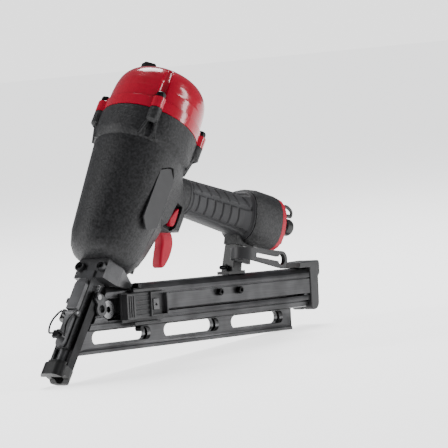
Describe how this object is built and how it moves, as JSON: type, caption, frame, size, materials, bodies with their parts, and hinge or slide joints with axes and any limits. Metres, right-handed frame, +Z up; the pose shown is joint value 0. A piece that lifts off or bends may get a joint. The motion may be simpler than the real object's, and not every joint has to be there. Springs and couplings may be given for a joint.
{
  "type": "pneumatic angled finish nailer",
  "caption": "Air-driven angled finish nailer: black body with red cap, rubber grip, trigger, safety nose and a slotted angled magazine with sliding pusher and belt hook.",
  "frame": {"origin": "centre of the bounding box at floor level, where the nose tip and the magazine's heel rest", "axes": "+Z up, +X from the nose towards the air inlet, +Y the tool's right-hand side"},
  "size_m": [0.4148, 0.097, 0.287],
  "materials": {
    "body_black": "fine-grained black powder coat",
    "cap_red": "gloss red paint",
    "satin_red": "satin red",
    "nose_steel": "dark matte casting",
    "cover_grey": "matte grey",
    "rail_grey": "dark anodised",
    "grip_rubber": "moulded dark grey rubber",
    "dark_rubber": "matte black rubber",
    "grey_plastic": "matte grey",
    "black_plastic": "matte black",
    "steel": "bright steel",
    "chrome": "bright plated",
    "black_steel": "black oxide"
  },
  "bodies": {
    "casing": {"grip_sleeve": "grip_rubber", "handle_end_cap": "satin_red", "end_cap_screw_1": "black_steel", "end_cap_screw_2": "black_steel", "end_cap_screw_3": "black_steel", "end_cap_screw_4": "black_steel", "air_plug": "chrome", "dust_cap": "dark_rubber", "dust_cap_strap": "dark_rubber", "magazine_rail": "rail_grey", "magazine_end_cap": "grey_plastic", "magazine_screw_1": "black_steel", "magazine_screw_2": "black_steel", "feed_spring": "steel", "hook_bolt": "black_steel", "strut_bracket": "black_plastic", "strut_screw": "black_steel", "body_casting": "body_black", "badge_plate": "grey_plastic", "cap": "cap_red", "cap_gasket": "dark_rubber", "cap_screw_1": "black_steel", "cap_screw_2": "black_steel", "cap_screw_3": "black_steel", "cap_screw_4": "black_steel", "deflector_screw": "black_steel", "cylinder_sleeve": "steel", "bumper": "dark_rubber", "head_valve_spring": "steel", "trigger_pin": "steel", "trigger_valve_body": "steel", "trigger_valve_spring": "steel", "driver_guide": "nose_steel", "nose_screw_1": "black_steel", "nose_screw_2": "black_steel", "nose_cover": "cover_grey", "door_hinge_pin": "steel", "work_contact_spring": "steel"},
    "trigger": {"trigger": "satin_red"},
    "valve_stem": {"trigger_valve_stem": "steel"},
    "mode_selector": {"mode_selector": "satin_red"},
    "piston": {"piston_driver": "steel", "piston_ring": "dark_rubber"},
    "head_valve": {"head_valve": "black_plastic"},
    "work_contact": {"work_contact": "black_steel", "contact_strap": "nose_steel", "strap_rivet": "steel", "no_mar_tip": "dark_rubber"},
    "depth_wheel": {"depth_wheel": "black_plastic"},
    "trip_rod": {"trip_rod": "black_steel"},
    "jam_door": {"jam_door": "cover_grey"},
    "latch_lever": {"latch_lever": "black_steel"},
    "latch_wire": {"latch_wire": "black_steel"},
    "exhaust_deflector": {"exhaust_deflector": "black_plastic"},
    "pusher": {"pusher": "grey_plastic", "pusher_knob": "grey_plastic", "pusher_roller_1": "black_steel", "pusher_roller_2": "black_steel"},
    "pusher_latch": {"pusher_latch": "cover_grey"},
    "belt_hook": {"belt_hook": "grey_plastic"}
  },
  "joints": [
    {"name": "trigger_pull", "type": "hinge", "parent": "casing", "child": "trigger", "pos_m": [-0.03053, 0, 0.13209], "axis": [0, -1, 0], "range_deg": [0, 9], "stiffness_Nm_per_rad": 0.6, "springref_deg": -20.05},
    {"name": "valve_stem_slide", "type": "slide", "parent": "casing", "child": "valve_stem", "axis": [0.6187, 0, 0.7856], "range_m": [0, 0.0024], "deforming": ["trigger_valve_spring"]},
    {"name": "mode_selector_turn", "type": "hinge", "parent": "casing", "child": "mode_selector", "pos_m": [-0.03053, 0, 0.13209], "axis": [0, -1, 0], "range_deg": [0, 22]},
    {"name": "drive_stroke", "type": "slide", "parent": "casing", "child": "piston", "axis": [-0.6187, 0, -0.7856], "range_m": [0, 0.066]},
    {"name": "head_valve_lift", "type": "slide", "parent": "casing", "child": "head_valve", "axis": [0.6187, 0, 0.7856], "range_m": [0, 0.006], "stiffness_N_per_m": 2500, "springref_m": -0.006, "deforming": ["head_valve_spring"]},
    {"name": "work_contact_press", "type": "slide", "parent": "casing", "child": "work_contact", "axis": [0.6187, 0, 0.7856], "range_m": [0, 0.008], "stiffness_N_per_m": 2200, "springref_m": -0.012, "deforming": ["work_contact_spring"]},
    {"name": "trip_rod_lift", "type": "slide", "parent": "casing", "child": "trip_rod", "axis": [0.6187, 0, 0.7856], "range_m": [0, 0.008]},
    {"name": "depth_wheel_turn", "type": "hinge", "parent": "work_contact", "child": "depth_wheel", "pos_m": [-0.15693, 0.0146, 0.05725], "axis": [0.6187, 0, 0.7856], "continuous": true},
    {"name": "jam_door_open", "type": "hinge", "parent": "casing", "child": "jam_door", "pos_m": [-0.16667, 0, 0.06428], "axis": [0, 1, 0], "range_deg": [0, 95]},
    {"name": "latch_lever_turn", "type": "hinge", "parent": "jam_door", "child": "latch_lever", "pos_m": [-0.18449, 0, 0.0465], "axis": [0, 1, 0], "range_deg": [0, 80]},
    {"name": "latch_wire_turn", "type": "hinge", "parent": "latch_lever", "child": "latch_wire", "pos_m": [-0.1881, 0, 0.0487], "axis": [0, -1, 0], "range_deg": [0, 80]},
    {"name": "exhaust_deflector_turn", "type": "hinge", "parent": "casing", "child": "exhaust_deflector", "pos_m": [0.00702, 0, 0.26544], "axis": [0.6187, 0, 0.7856], "continuous": true},
    {"name": "pusher_slide", "type": "slide", "parent": "casing", "child": "pusher", "axis": [0.9973, 0, -0.0736], "range_m": [0, 0.084], "stiffness_N_per_m": 30, "springref_m": -0.5},
    {"name": "pusher_latch_slide", "type": "slide", "parent": "pusher", "child": "pusher_latch", "axis": [0.9973, 0, -0.0736], "range_m": [0, 0.003], "stiffness_N_per_m": 400, "springref_m": -0.003},
    {"name": "belt_hook_turn", "type": "hinge", "parent": "casing", "child": "belt_hook", "pos_m": [0.07939, 0, 0.086], "axis": [0, -1, 0], "range_deg": [0, 6]}
  ],
  "couplings": [
    {"joint": "valve_stem_slide", "follows": "trigger_pull", "m_per_rad": 0.0135},
    {"joint": "trip_rod_lift", "follows": "work_contact_press", "ratio": 1},
    {"joint": "latch_wire_turn", "follows": "latch_lever_turn", "ratio": 1}
  ]
}
